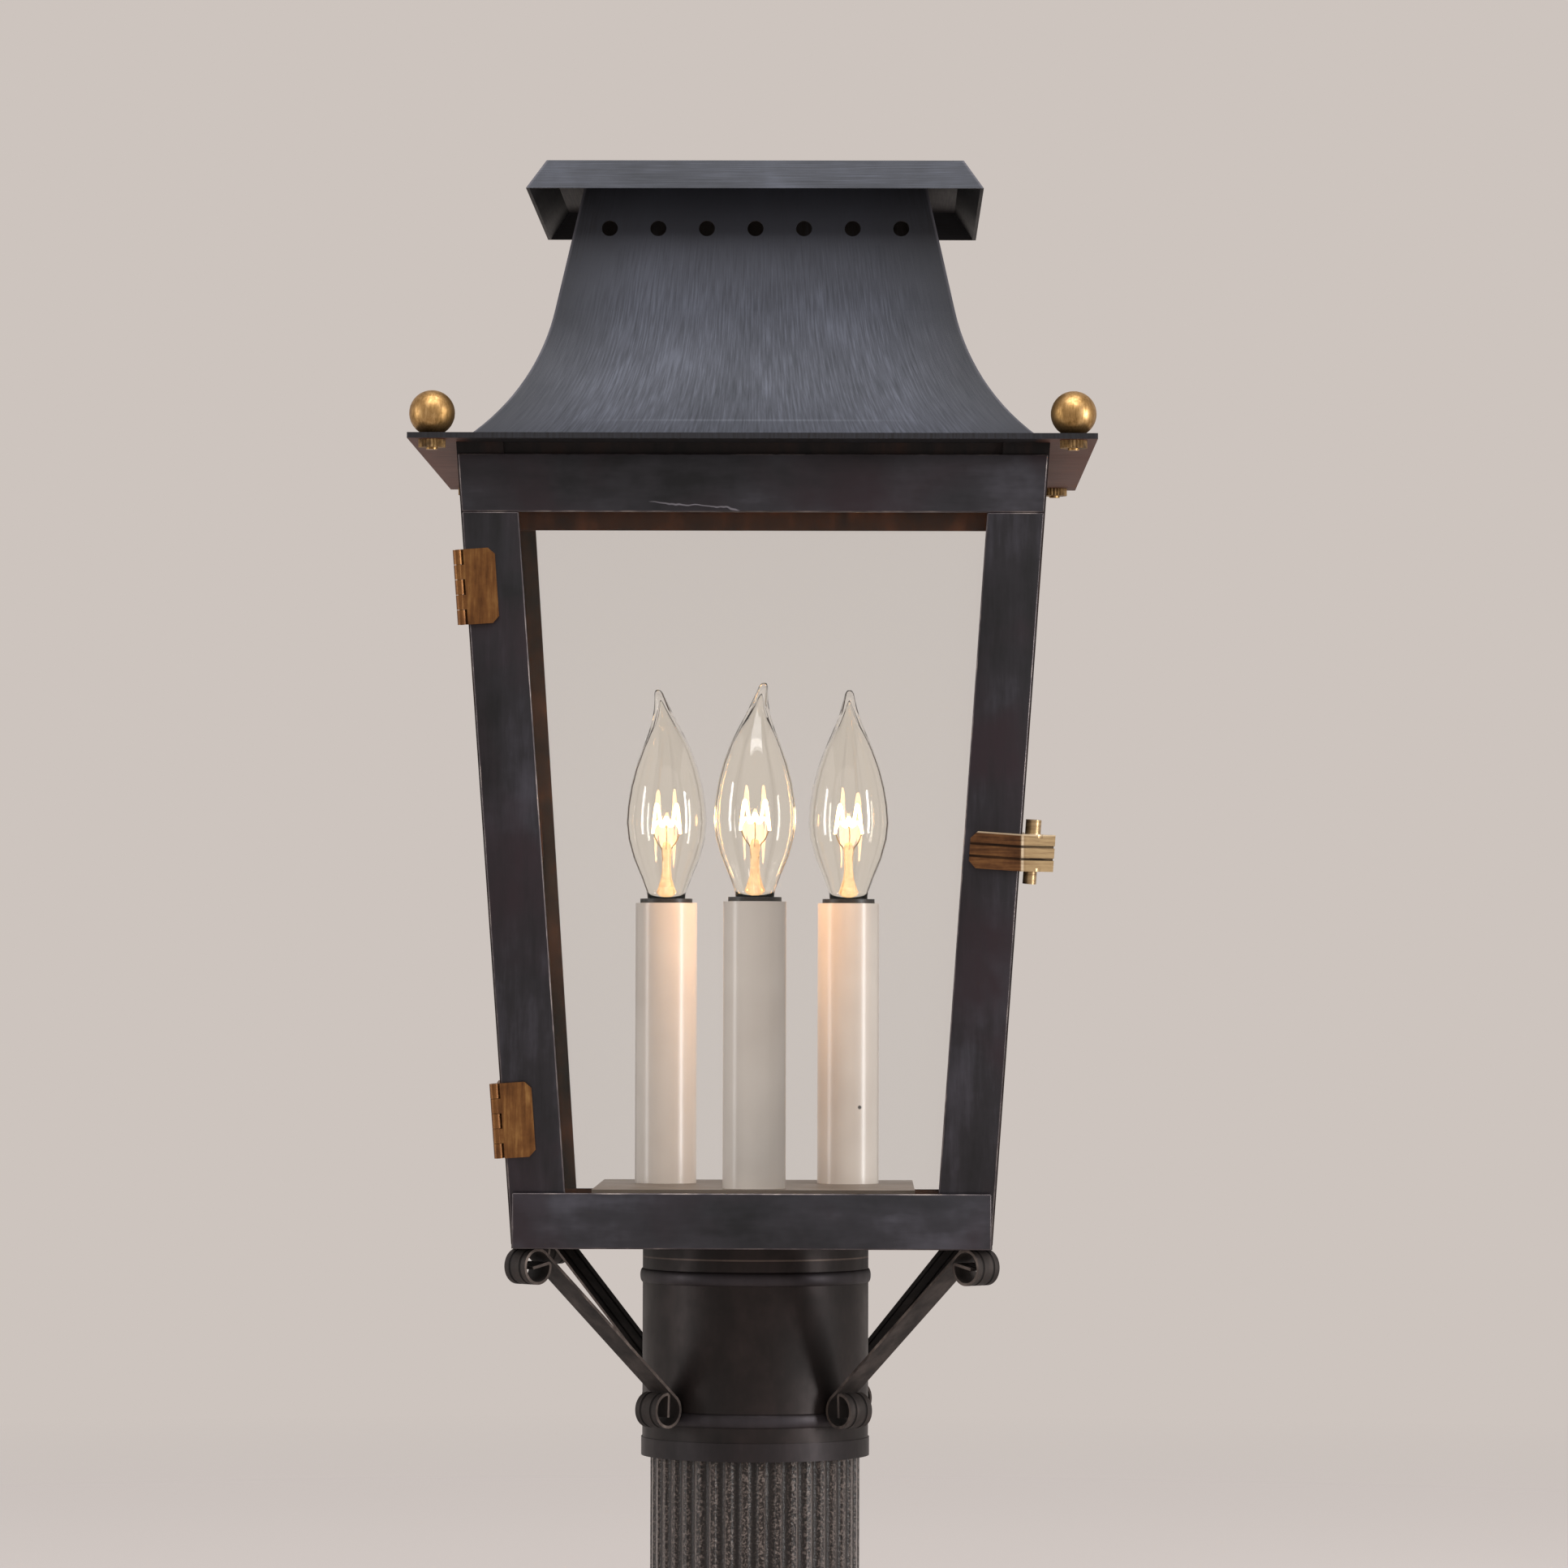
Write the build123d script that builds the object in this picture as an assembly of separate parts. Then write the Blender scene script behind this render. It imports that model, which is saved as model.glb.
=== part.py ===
from build123d import *
import os
from math import atan2, cos, degrees, radians, sqrt, tan

# Outdoor post light: a tapered four-sided lantern with a hinged glazed door on a round fluted post.
# Millimetres, +Z up, the door faces -Y, origin at the bottom centre of the post.

# Fluted post
post_diameter = 76.2
post_wall = 3.2
post_exposed = 95.0
post_inside = 62.0
flute_count = 40
flute_radius = 2.6
flute_depth = 1.1

# Post fitter
fitter_clearance = 0.9
fitter_wall = 2.1
fitter_height = 78.0
fitter_top_plate = 2.5
fitter_bead = 0.9
fitter_bead_height = 5.0
fitter_top_bead_drop = 10.3
fitter_low_bead_rise = 12.0
fitter_collar_height = 6.6
fitter_collar_step = 0.4
wire_hole_radius = 12.0
set_screw_radius = 3.0
set_screw_rise = 36.0
set_screw_angles = (30, 90, 150)
fitter_screw_circle_radius = 30.0
fitter_screw_count = 4
fitter_screw_start = 45
screw_radius = 2.0
screw_head_radius = 3.6
screw_head_height = 2.2

# Tapered body frame of angle bars
base_half = 84.5
eaves_half = 103.9
body_height = 282.6
base_thickness = 1.6
angle_leg = 16.4
angle_wall = 1.5
top_strip_height = 17.0
bottom_strip_height = 14.0
glass_thickness = 3.0
glass_edge_gap = 0.4
clip_height = 14.0
clip_wall = 0.8
clip_reach = 7.0

# Roof
eaves_overhang = 16.1
eaves_thickness = 2.0
hood_foot_inset = 3.4
hood_flare = 29.5
hood_bend_rise = 47.5
hood_neck_taper = 10.3
hood_height = 94.5
hood_wall = 1.2
eaves_opening_inset = 9.0
vent_count = 7
vent_radius = 2.85
vent_edge = 8.8
vent_drop = 17.0
cap_rim_overhang = 20.3
cap_rim_slope = 7.0
cap_shoulder_rise = 10.7
cap_crown_half = 12.0
cap_crown_rise = 5.0
cap_wall = 1.2
cap_overlap = 4.6
bracket_width = 12.0
bracket_wall = 1.5
bracket_lap = 6.0
ball_radius = 8.0
ball_seat = 7.3
ball_inset = 8.2
stud_radius = 2.0
stud_tail = 3.4
nut_radius = 4.8
nut_height = 2.7
thread_clearance = 0.05
hole_clearance = 0.15

# Door
door_wall = 1.5
door_gap = 0.3
door_edge_gap = 0.5
stile_width = 20.3
door_top_gap = 4.2
door_top_rail = 20.3
door_bottom_rail = 19.7
bottom_rail_inset = 0.4
door_glass_lap = 3.4
door_clip_reach = 3.0

# Butt hinges
hinge_length = 26.4
hinge_leaf = 13.0
hinge_leaf_wall = 1.0
hinge_knuckles = 5
knuckle_radius = 1.7
hinge_pin_radius = 0.8
hinge_clearance = 0.05
knuckle_gap = 0.15
hinge_side = 2.0
hinge_front = 1.3
hinge_chamfer = 2.3
solder_gap = 0.15
hinge_low_rise = 44.9
hinge_high_drop = 50.9

# Latch
latch_rise = 139.5
latch_width = 18.0
latch_height = 13.0
latch_wall = 1.2
latch_tab = 17.0
latch_tab_turn_deg = 45
latch_groove = 0.5
latch_groove_width = 0.8
latch_chamfer = 2.5
latch_pin_radius = 2.4
latch_pin_side = 3.9
latch_pin_depth = 6.3
latch_pin_head_radius = 2.75
latch_pin_head = 5.0
latch_pin_tail = 4.6
latch_pin_clearance = 0.05
ear_wall = 1.2
ear_rim = 1.6
keeper_wall = 1.2
keeper_height = 12.0
keeper_length = 14.0
keeper_fork_height = 3.0
keeper_gap = 0.3
keeper_tine = 1.2

# Candle cluster
tray_half = 57.5
tray_rise = 19.9
tray_wall = 1.2
lamp_circle_radius = 38.7
lamp_angles = (-90, 30, 150)
lamp_names = ("front", "right", "left")
sleeve_radius = 11.3
sleeve_wall = 1.0
sleeve_height = 102.8
socket_radius = 9.6
socket_height = 38.0
socket_lip = 1.6
socket_bore_clearance = 0.35
socket_floor = 6.0
stem_radius = 4.8
stem_bore = 3.6
stem_tail = 8.0
stem_nut_radius = 8.0
stem_nut_height = 4.0

# Flame bulbs
bulb_base_radius = 5.9
bulb_base_length = 17.0
bulb_contact_radius = 2.6
bulb_contact_length = 2.0
bulb_neck_radius = 7.4
bulb_belly_radius = 14.7
bulb_belly_rise = 30.0
bulb_shoulder_radius = 7.2
bulb_shoulder_rise = 58.0
bulb_length = 77.0
bulb_tip_radius = 1.6
bulb_glass = 0.7
bulb_stem_radius = 2.6
bulb_stem_height = 24.0
filament_radius = 0.35
filament_loop = 4.2
filament_legs = 7.0

# Scroll braces
brace_width = 10.7
brace_thickness = 1.0
curl_radius = 5.9
curl_turn_deg = 312
curl_inner_radius = 0.9
curl_inner_turn_deg = 100
curl_tail = 7.4
upper_curl_inset = 7.9
lower_curl_rise = 18.2

# Heights and slopes that follow from the sizes above
fitter_z = post_exposed
base_z = fitter_z + fitter_height
frame_z = base_z + base_thickness
eaves_z = base_z + body_height
roof_z = eaves_z + eaves_thickness
taper = (eaves_half - base_half) / body_height
slope_stretch = sqrt(1 + taper ** 2)
glass_low = frame_z + bottom_strip_height
glass_high = eaves_z - top_strip_height
door_top = eaves_z - door_top_gap
door_head = door_top - door_top_rail
door_sill = base_z + door_bottom_rail
fitter_bore = post_diameter / 2 + fitter_clearance
fitter_radius = fitter_bore + fitter_wall
tray_z = base_z + tray_rise
socket_top = tray_z + sleeve_height + socket_lip
socket_bore = bulb_base_radius + socket_bore_clearance
hood_foot_half = eaves_half - hood_foot_inset
hood_bend_half = hood_foot_half - hood_flare
hood_top_half = hood_bend_half - hood_neck_taper
vent_pitch = 2 * (hood_top_half - vent_edge) / (vent_count - 1)
cap_rim_half = hood_top_half + cap_rim_overhang
cap_shoulder_half = cap_rim_half - cap_rim_slope
bottom_rail_half = base_half - bottom_rail_inset
upper_curl_reach = base_half * sqrt(2) - upper_curl_inset
hinge_heights = (base_z + hinge_low_rise, eaves_z - hinge_high_drop)


def half_at(z):
    """Half width of the tapered body over its corner angles at height z."""
    return base_half + taper * (z - base_z)


def tapered(z_low, z_high, outline):
    """Solid between two heights whose outline points are worked out at each height."""
    faces = [Pos(0, 0, z) * make_face(Polyline(*outline(z), close=True)) for z in (z_low, z_high)]
    return loft(faces, ruled=True)


def turned(solid, angle):
    return Rot(0, 0, angle) * solid


def tube(radius_out, radius_in, z_low, z_high):
    ring = Circle(radius_out) - Circle(radius_in)
    return Pos(0, 0, z_low) * extrude(ring, z_high - z_low)


def rod(radius, z_low, z_high):
    return Pos(0, 0, z_low) * extrude(Circle(radius), z_high - z_low)


def square_frustum(half_low, half_high, z_low, z_high):
    low = Pos(0, 0, z_low) * Rectangle(2 * half_low, 2 * half_low)
    high = Pos(0, 0, z_high) * Rectangle(2 * half_high, 2 * half_high)
    return loft([low, high], ruled=True)


def four_sided(outline_points):
    """Square hood body: one profile drawn across X and across Y, kept where both agree."""
    across_x = extrude(Plane.XZ * outline_points, 2 * eaves_half, both=True)
    return across_x & turned(across_x, 90)


def fluted_post():
    radius = post_diameter / 2
    flute_place = radius + flute_radius - flute_depth
    section = Circle(radius) - Circle(radius - post_wall)
    section -= PolarLocations(flute_place, flute_count) * Circle(flute_radius)
    return extrude(section, post_exposed + post_inside)


def post_fitter():
    collar = fitter_radius + fitter_collar_step
    sleeve = tube(fitter_radius, fitter_bore, fitter_z, base_z - fitter_top_plate)
    sleeve += tube(collar, fitter_bore, fitter_z, fitter_z + fitter_collar_height)
    sleeve += tube(fitter_radius, wire_hole_radius, base_z - fitter_top_plate, base_z)
    for z in (fitter_z + fitter_low_bead_rise, base_z - fitter_top_bead_drop - fitter_bead_height):
        bead = Pos(fitter_radius, z + fitter_bead_height / 2) * Ellipse(fitter_bead, fitter_bead_height / 2)
        sleeve += revolve(Plane.XZ * bead, Axis.Z)
    sleeve -= rod(fitter_bore, fitter_z, base_z - fitter_top_plate)
    for angle in set_screw_angles:
        hole = set_screw_rod(set_screw_radius + thread_clearance, fitter_radius + fitter_bead)
        sleeve -= turned(hole, angle)
    for place in fitter_screw_places():
        sleeve -= place * rod(screw_radius + thread_clearance, base_z - fitter_top_plate, base_z)
    return sleeve


def set_screw_rod(radius, reach):
    start = post_diameter / 2 + thread_clearance
    plane = Plane((start, 0, fitter_z + set_screw_rise), z_dir=(1, 0, 0))
    return plane * extrude(Circle(radius), reach - start)


def set_screws():
    return [turned(set_screw_rod(set_screw_radius, fitter_radius), angle) for angle in set_screw_angles]


def fitter_screws():
    shank = rod(screw_radius, base_z - fitter_top_plate, frame_z)
    screw = shank + rod(screw_head_radius, frame_z, frame_z + screw_head_height)
    return [place * screw for place in fitter_screw_places()]


def fitter_screw_places():
    return PolarLocations(fitter_screw_circle_radius, fitter_screw_count, fitter_screw_start)


def base_plate():
    plate = Pos(0, 0, base_z) * extrude(Rectangle(2 * base_half, 2 * base_half), base_thickness)
    plate -= rod(wire_hole_radius, base_z, frame_z)
    for place in fitter_screw_places():
        plate -= place * rod(screw_radius + hole_clearance, base_z, frame_z)
    return plate


def scroll_brace(angle):
    """Flat strip in a diagonal plane with a curl at each end, both curls on its outer side."""
    reach = curl_radius + brace_thickness / 2
    high = Vector(upper_curl_reach, base_z - reach)
    low = Vector(fitter_radius + fitter_bead + reach, fitter_z + lower_curl_rise)
    along = (high - low).normalized()
    inward = Vector(-along.Y, along.X) * curl_radius
    plane = Plane((0, 0, 0), x_dir=(1, 0, 0), z_dir=(0, -1, 0))
    strip = strip_sweep(plane, [Line(low + inward, high + inward)])
    for end, way, turn in ((high + inward, along, -1), (low + inward, along * -1, 1)):
        curl = JernArc(end, way, curl_radius, turn * curl_turn_deg)
        inner = JernArc(curl @ 1, curl % 1, curl_inner_radius, turn * curl_inner_turn_deg)
        tail = Line(inner @ 1, (inner @ 1) + (inner % 1) * curl_tail)
        strip += strip_sweep(plane, [curl, inner, tail])
    return turned(strip, angle)


def strip_sweep(plane, lines):
    """Sweep the strip's section along lines drawn in a plane."""
    path = Wire([plane * line.edge() for line in lines])
    section = Plane(path @ 0, x_dir=plane.z_dir, z_dir=path % 0) * Rectangle(brace_width, brace_thickness)
    return sweep(section, path=path)


def corner_angle(side_x, side_y):
    """Angle bar along one slanted corner of the body."""
    def outline(z):
        half = half_at(z)
        inner = half - angle_wall
        leg = half - angle_leg
        points = ((half, half), (leg, half), (leg, inner), (inner, inner), (inner, leg), (half, leg))
        return [(side_x * x, side_y * y) for x, y in points]
    return tapered(frame_z, eaves_z, outline)


def frame_strip(z_low, z_high, angle):
    """Flat strip of the top or bottom frame, lapped behind the corner angles on one side."""
    def outline(z):
        far = half_at(z) - angle_wall
        near = far - angle_wall
        end = half_at(z) - angle_wall - glass_thickness
        return ((-end, far), (end, far), (end, near), (-end, near))
    return turned(tapered(z_low, z_high, outline), angle)


def pane(angle):
    """Fixed pane behind the corner angles, between the top and bottom strips."""
    def outline(z):
        far = half_at(z) - angle_wall
        near = far - glass_thickness
        end = near - glass_edge_gap
        return ((-end, far), (end, far), (end, near), (-end, near))
    return turned(tapered(glass_low, glass_high - glass_edge_gap, outline), angle)


def pane_clips():
    """Bent tabs that hold each fixed pane against its corner angles."""
    middle = (glass_low + glass_high) / 2
    clips = []
    for angle in (0, 90, -90):
        for side in (-1, 1):
            def outline(z):
                face = half_at(z) - angle_wall - glass_thickness
                wall = half_at(z) - angle_wall
                stop = wall - glass_thickness - glass_edge_gap if angle == 0 or side * angle > 0 else wall
                points = ((stop, face), (stop - clip_reach, face),
                          (stop - clip_reach, face - clip_wall), (stop, face - clip_wall))
                return [(side * x, y) for x, y in points]
            clips.append(turned(tapered(middle, middle + clip_height, outline), angle))
    return clips


def eaves_plate():
    half = eaves_half + eaves_overhang
    opening = hood_foot_half - eaves_opening_inset
    plate = extrude(Rectangle(2 * half, 2 * half) - Rectangle(2 * opening, 2 * opening), eaves_thickness)
    plate = Pos(0, 0, eaves_z) * plate
    for place in ball_places():
        plate -= place * rod(stud_radius + hole_clearance, eaves_z, roof_z)
    return plate


def ball_places():
    spot = eaves_half + eaves_overhang - ball_inset
    return GridLocations(2 * spot, 2 * spot, 2, 2)


def ball_finials():
    ball = Pos(0, 0, roof_z + ball_seat) * Sphere(ball_radius)
    ball &= Pos(0, 0, roof_z + ball_radius) * Box(4 * ball_radius, 4 * ball_radius, 2 * ball_radius)
    ball += rod(stud_radius, eaves_z - stud_tail, roof_z)
    return [place * ball for place in ball_places()]


def finial_nuts():
    nut = tube(nut_radius, stud_radius + thread_clearance, eaves_z - nut_height, eaves_z)
    return [place * nut for place in ball_places()]


def hood_profile(inset):
    """Half profile of the hood mirrored across: a flared neck that sweeps out to the foot."""
    top = roof_z + hood_height
    bend = (hood_bend_half - inset, roof_z + hood_bend_rise)
    neck = Line((hood_top_half - inset, top), bend)
    sweep_out = TangentArc(bend, (hood_foot_half - inset, roof_z), tangent=neck % 1)
    edges = [neck, sweep_out]
    sides = edges + [mirror(edge, Plane.YZ) for edge in edges]
    foot = Line((inset - hood_foot_half, roof_z), (hood_foot_half - inset, roof_z))
    crown = Line((inset - hood_top_half, top), (hood_top_half - inset, top))
    return make_face(sides + [foot, crown])


def roof_hood():
    hood = four_sided(hood_profile(0)) - four_sided(hood_profile(hood_wall))
    vent = extrude(Plane.XZ * Circle(vent_radius), 2 * eaves_half, both=True)
    row_z = roof_z + hood_height - vent_drop
    for place in GridLocations(vent_pitch, 1, vent_count, 1):
        hole = Pos(0, 0, row_z) * place * vent
        hood -= hole
        hood -= turned(hole, 90)
    return hood


def vent_cap():
    rim_z = roof_z + hood_height - cap_overlap
    shoulder_z = rim_z + cap_shoulder_rise
    crown_z = shoulder_z + cap_crown_rise
    cap = square_frustum(cap_rim_half, cap_shoulder_half, rim_z, shoulder_z)
    cap += square_frustum(cap_shoulder_half, cap_crown_half, shoulder_z, crown_z)
    rim_inside = cap_rim_half - cap_wall
    shoulder_inside = cap_shoulder_half - cap_wall
    hollow = square_frustum(rim_inside, shoulder_inside, rim_z, shoulder_z - cap_wall)
    hollow += square_frustum(shoulder_inside, cap_crown_half, shoulder_z - cap_wall, crown_z - cap_wall)
    return cap - hollow


def cap_brackets():
    """Straps inside the hood's rim that carry the vent cap."""
    top = roof_z + hood_height
    flare = (hood_bend_half - hood_top_half) / (hood_height - hood_bend_rise)
    shoulder = (cap_shoulder_half - cap_wall, top - cap_overlap + cap_shoulder_rise - cap_wall)
    pitch = cap_crown_rise / (shoulder[0] - cap_crown_half)
    ceiling = lambda reach: (reach, shoulder[1] + pitch * (shoulder[0] - reach))
    rim = hood_top_half - hood_wall
    inner = rim - bracket_wall
    low = flare * bracket_lap
    outline = Polyline((rim + low, top - bracket_lap), (rim, top), ceiling(rim), ceiling(inner),
                       (inner, top), (inner + low, top - bracket_lap), close=True)
    strap = extrude(Plane.XZ * make_face(outline), bracket_width / 2, both=True)
    return [turned(strap, angle) for angle in (0, 90, 180, 270)]


def door_strip(z_low, z_high, x_ends, layer, wall):
    """Flat bar of the door: layer is how far its back stands out from the corner angles."""
    def outline(z):
        back = -half_at(z) - layer
        left, right = x_ends(half_at(z))
        return ((left, back), (right, back), (right, back - wall), (left, back - wall))
    return tapered(z_low, z_high, outline)


def door_bars():
    edge = door_edge_gap
    left = lambda half: (edge - half, stile_width - half)
    right = lambda half: (half - stile_width, half - edge)
    full = lambda half: (edge - half, half - edge)
    plain = lambda half: (-bottom_rail_half, bottom_rail_half)
    return {
        "door_top_rail": door_strip(door_head, door_top, full, door_gap, door_wall),
        "door_left_stile": door_strip(base_z, door_head, left, door_gap, door_wall),
        "door_right_stile": door_strip(base_z, door_head, right, door_gap, door_wall),
        "door_bottom_rail": door_strip(base_z, door_sill, plain, door_gap + door_wall, door_wall),
    }


def door_pane():
    """Pane behind the door bars, inside the opening of the corner angles."""
    ends = lambda half: (stile_width - door_glass_lap - half, half - stile_width + door_glass_lap)
    low = door_sill - door_glass_lap
    return door_strip(low, door_head + door_glass_lap, ends, door_gap - glass_thickness, glass_thickness)


def door_clips():
    """Tabs soldered to the stiles that hold the door pane from behind."""
    clips = []
    for side in (-1, 1):
        def ends(half):
            near = half - stile_width + door_glass_lap
            return sorted((side * (near - door_clip_reach), side * near))
        back = door_gap - glass_thickness - clip_wall
        for z in hinge_heights:
            clips.append(door_strip(z, z + clip_height, ends, back, clip_wall))
    return clips


def corner_plane(z, side, side_gap, front_gap):
    """Plane across a front corner line: X along the door's face, Y into the body, Z up the corner."""
    half = half_at(z)
    origin = (side * (half + side_gap * slope_stretch), -half - front_gap * slope_stretch, z)
    up = Vector(side * taper, -taper, 1).normalized()
    across = Vector(1, 0, 0) - up * up.X
    return Plane(origin, x_dir=across, z_dir=up)


def block(x_low, x_high, y_low, y_high, z_low, z_high):
    return Pos(x_low, y_low, z_low) * Box(x_high - x_low, y_high - y_low, z_high - z_low,
                                          align=(Align.MIN, Align.MIN, Align.MIN))


def hinge_parts(z):
    """Butt hinge at one height: leaf on the frame's side, leaf on the door's face, and the pin."""
    plane = corner_plane(z, -1, hinge_side, hinge_front)
    start = -hinge_length / 2
    pitch = hinge_length / hinge_knuckles
    clear = knuckle_radius + door_gap
    face = hinge_front - door_gap - door_wall
    door_leaf = block(clear, hinge_leaf, face - hinge_leaf_wall, face, start, -start)
    corners = door_leaf.edges().filter_by(Axis.Y).group_by(Axis.X)[-1]
    door_leaf = chamfer(corners, hinge_chamfer)
    seat = hinge_side - solder_gap
    frame_leaf = block(seat - hinge_leaf_wall, seat, clear, hinge_leaf, start, -start)
    for knuckle in range(hinge_knuckles):
        low = start + knuckle * pitch + knuckle_gap / 2
        high = low + pitch - knuckle_gap
        if knuckle % 2:
            door_leaf += block(0, clear, face - hinge_leaf_wall, face, low, high)
            door_leaf += rod(knuckle_radius, low, high)
        else:
            frame_leaf += block(seat - hinge_leaf_wall, seat, 0, clear, low, high)
            frame_leaf += rod(knuckle_radius, low, high)
    door_leaf -= rod(hinge_pin_radius + hinge_clearance, start, -start)
    frame_leaf -= rod(hinge_pin_radius, start, -start)
    pin = rod(hinge_pin_radius, start, -start)
    return plane * door_leaf, plane * frame_leaf, plane * pin


def latch_plane():
    return corner_plane(base_z + latch_rise, 1, 0, 0)


def latch_plate():
    """Grooved plate on the right stile, bent back past the corner into a thumb tab with two pin ears."""
    top = latch_height / 2
    back = -door_gap - door_wall
    front = back - latch_wall
    plate = block(-latch_width, 0, front, back, -top, top)
    corners = plate.edges().filter_by(Axis.Y).group_by(Axis.X)[0]
    plate = chamfer(corners, latch_chamfer)
    bend = Pos(0, front, 0) * Rot(0, 0, latch_tab_turn_deg)
    plate += bend * block(0, latch_tab, 0, latch_wall, -top, top)
    rim = latch_pin_radius + ear_rim
    ear = Pos(latch_pin_side, latch_pin_depth) * Circle(rim)
    turn = radians(latch_tab_turn_deg)
    tab_back = lambda x: (x, front + latch_wall / cos(turn) + x * tan(turn))
    near = latch_pin_side - rim
    far = latch_pin_side + rim
    root = [tab_back(near), tab_back(far), (far, latch_pin_depth), (near, latch_pin_depth)]
    ear += make_face(Polyline(*root, close=True))
    ear &= Pos(door_edge_gap + latch_width, 0) * Rectangle(2 * latch_width, 4 * latch_width)
    ear -= Pos(latch_pin_side, latch_pin_depth) * Circle(latch_pin_radius + latch_pin_clearance)
    for z in (-top, top - ear_wall):
        plate += Pos(0, 0, z) * extrude(ear, ear_wall)
    third = latch_height / 3
    for z in (-third / 2, third / 2):
        groove = block(-2 * latch_width, 0, front, front + latch_groove, z - latch_groove_width / 2,
                       z + latch_groove_width / 2)
        plate -= groove
        plate -= bend * block(0, 2 * latch_tab, 0, latch_groove, z - latch_groove_width / 2,
                              z + latch_groove_width / 2)
    return latch_plane() * plate


def latch_pin():
    """Drop pin: its head stands on the upper ear and its shank passes both ears."""
    top = latch_height / 2
    pin = rod(latch_pin_radius, -top - latch_pin_tail, top)
    pin += rod(latch_pin_head_radius, top, top + latch_pin_head)
    return latch_plane() * (Pos(latch_pin_side, latch_pin_depth, 0) * pin)


def latch_keeper():
    """Plate on the frame's right side with a fork, open to the front, that the pin stands in."""
    back = latch_pin_depth + latch_pin_radius + ear_rim + keeper_gap
    plate = block(solder_gap, solder_gap + keeper_wall, back, back + keeper_length,
                  -keeper_height / 2, keeper_height / 2)
    slot = latch_pin_radius + keeper_gap
    inner = max(latch_pin_side - slot - keeper_tine, solder_gap)
    outer = latch_pin_side + slot + keeper_tine
    fork = block(inner, outer, latch_pin_depth + keeper_gap, back + keeper_tine,
                 -keeper_fork_height / 2, keeper_fork_height / 2)
    throat = block(latch_pin_side - slot, latch_pin_side + slot, 0, latch_pin_depth,
                   -keeper_fork_height, keeper_fork_height)
    throat += Pos(latch_pin_side, latch_pin_depth, 0) * rod(slot, -keeper_fork_height, keeper_fork_height)
    return latch_plane() * (plate + (fork - throat))


def candle_tray():
    box = Pos(0, 0, frame_z) * extrude(Rectangle(2 * tray_half, 2 * tray_half), tray_z - frame_z)
    inside = 2 * (tray_half - tray_wall)
    box -= Pos(0, 0, frame_z) * extrude(Rectangle(inside, inside), tray_z - frame_z - tray_wall)
    for place in lamp_places():
        box -= place * rod(stem_radius + hole_clearance, frame_z, tray_z)
    return box


def lamp_places():
    reach = Pos(lamp_circle_radius, 0, 0)
    return [Rot(0, 0, angle) * reach * Rot(0, 0, -angle) for angle in lamp_angles]


def lamp_sockets():
    low = socket_top - socket_height
    socket = rod(socket_radius, low, socket_top) - rod(socket_bore, low + socket_floor, socket_top)
    socket -= rod(stem_radius + thread_clearance, low, low + socket_floor / 2)
    return [place * socket for place in lamp_places()]


def lamp_stems():
    high = socket_top - socket_height + socket_floor / 2
    stem = tube(stem_radius, stem_bore, tray_z - stem_tail, high)
    return [place * stem for place in lamp_places()]


def stem_nuts():
    low = tray_z - tray_wall - stem_nut_height
    hexagon = RegularPolygon(stem_nut_radius, 6) - Circle(stem_radius + thread_clearance)
    nut = Pos(0, 0, low) * extrude(hexagon, stem_nut_height)
    return [place * nut for place in lamp_places()]


def candle_sleeve():
    return tube(sleeve_radius, sleeve_radius - sleeve_wall, tray_z, tray_z + sleeve_height)


def bulb_outline(inset):
    """Half section of the flame envelope, from the neck to the tip."""
    neck = (bulb_neck_radius - inset, socket_top)
    belly = (bulb_belly_radius - inset, socket_top + bulb_belly_rise)
    shoulder = (bulb_shoulder_radius - inset, socket_top + bulb_shoulder_rise)
    tip = (bulb_tip_radius - inset, socket_top + bulb_length - inset)
    side = Spline(neck, belly, shoulder, tip)
    top = Line(tip, (0, socket_top + bulb_length - inset))
    axis = Line((0, socket_top + bulb_length - inset), (0, socket_top))
    foot = Line((0, socket_top), neck)
    return Plane.XZ * make_face([side, top, axis, foot])


def bulb_glass_shell():
    return revolve(bulb_outline(0), Axis.Z) - revolve(bulb_outline(bulb_glass), Axis.Z)


def bulb_base():
    low = socket_top - bulb_base_length
    return rod(bulb_base_radius, low, socket_top) + rod(bulb_contact_radius, low - bulb_contact_length, low)


def bulb_filament():
    """Glass stem with a looped filament on two legs."""
    top = socket_top + bulb_stem_height
    stem = rod(bulb_stem_radius, socket_top, top)
    loop = Rot(90, 0, 0) * Torus(filament_loop, filament_radius)
    loop = Pos(0, 0, top + filament_legs + filament_loop) * loop
    legs = rod(filament_radius, top, top + filament_legs)
    return stem + legs + loop


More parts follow.
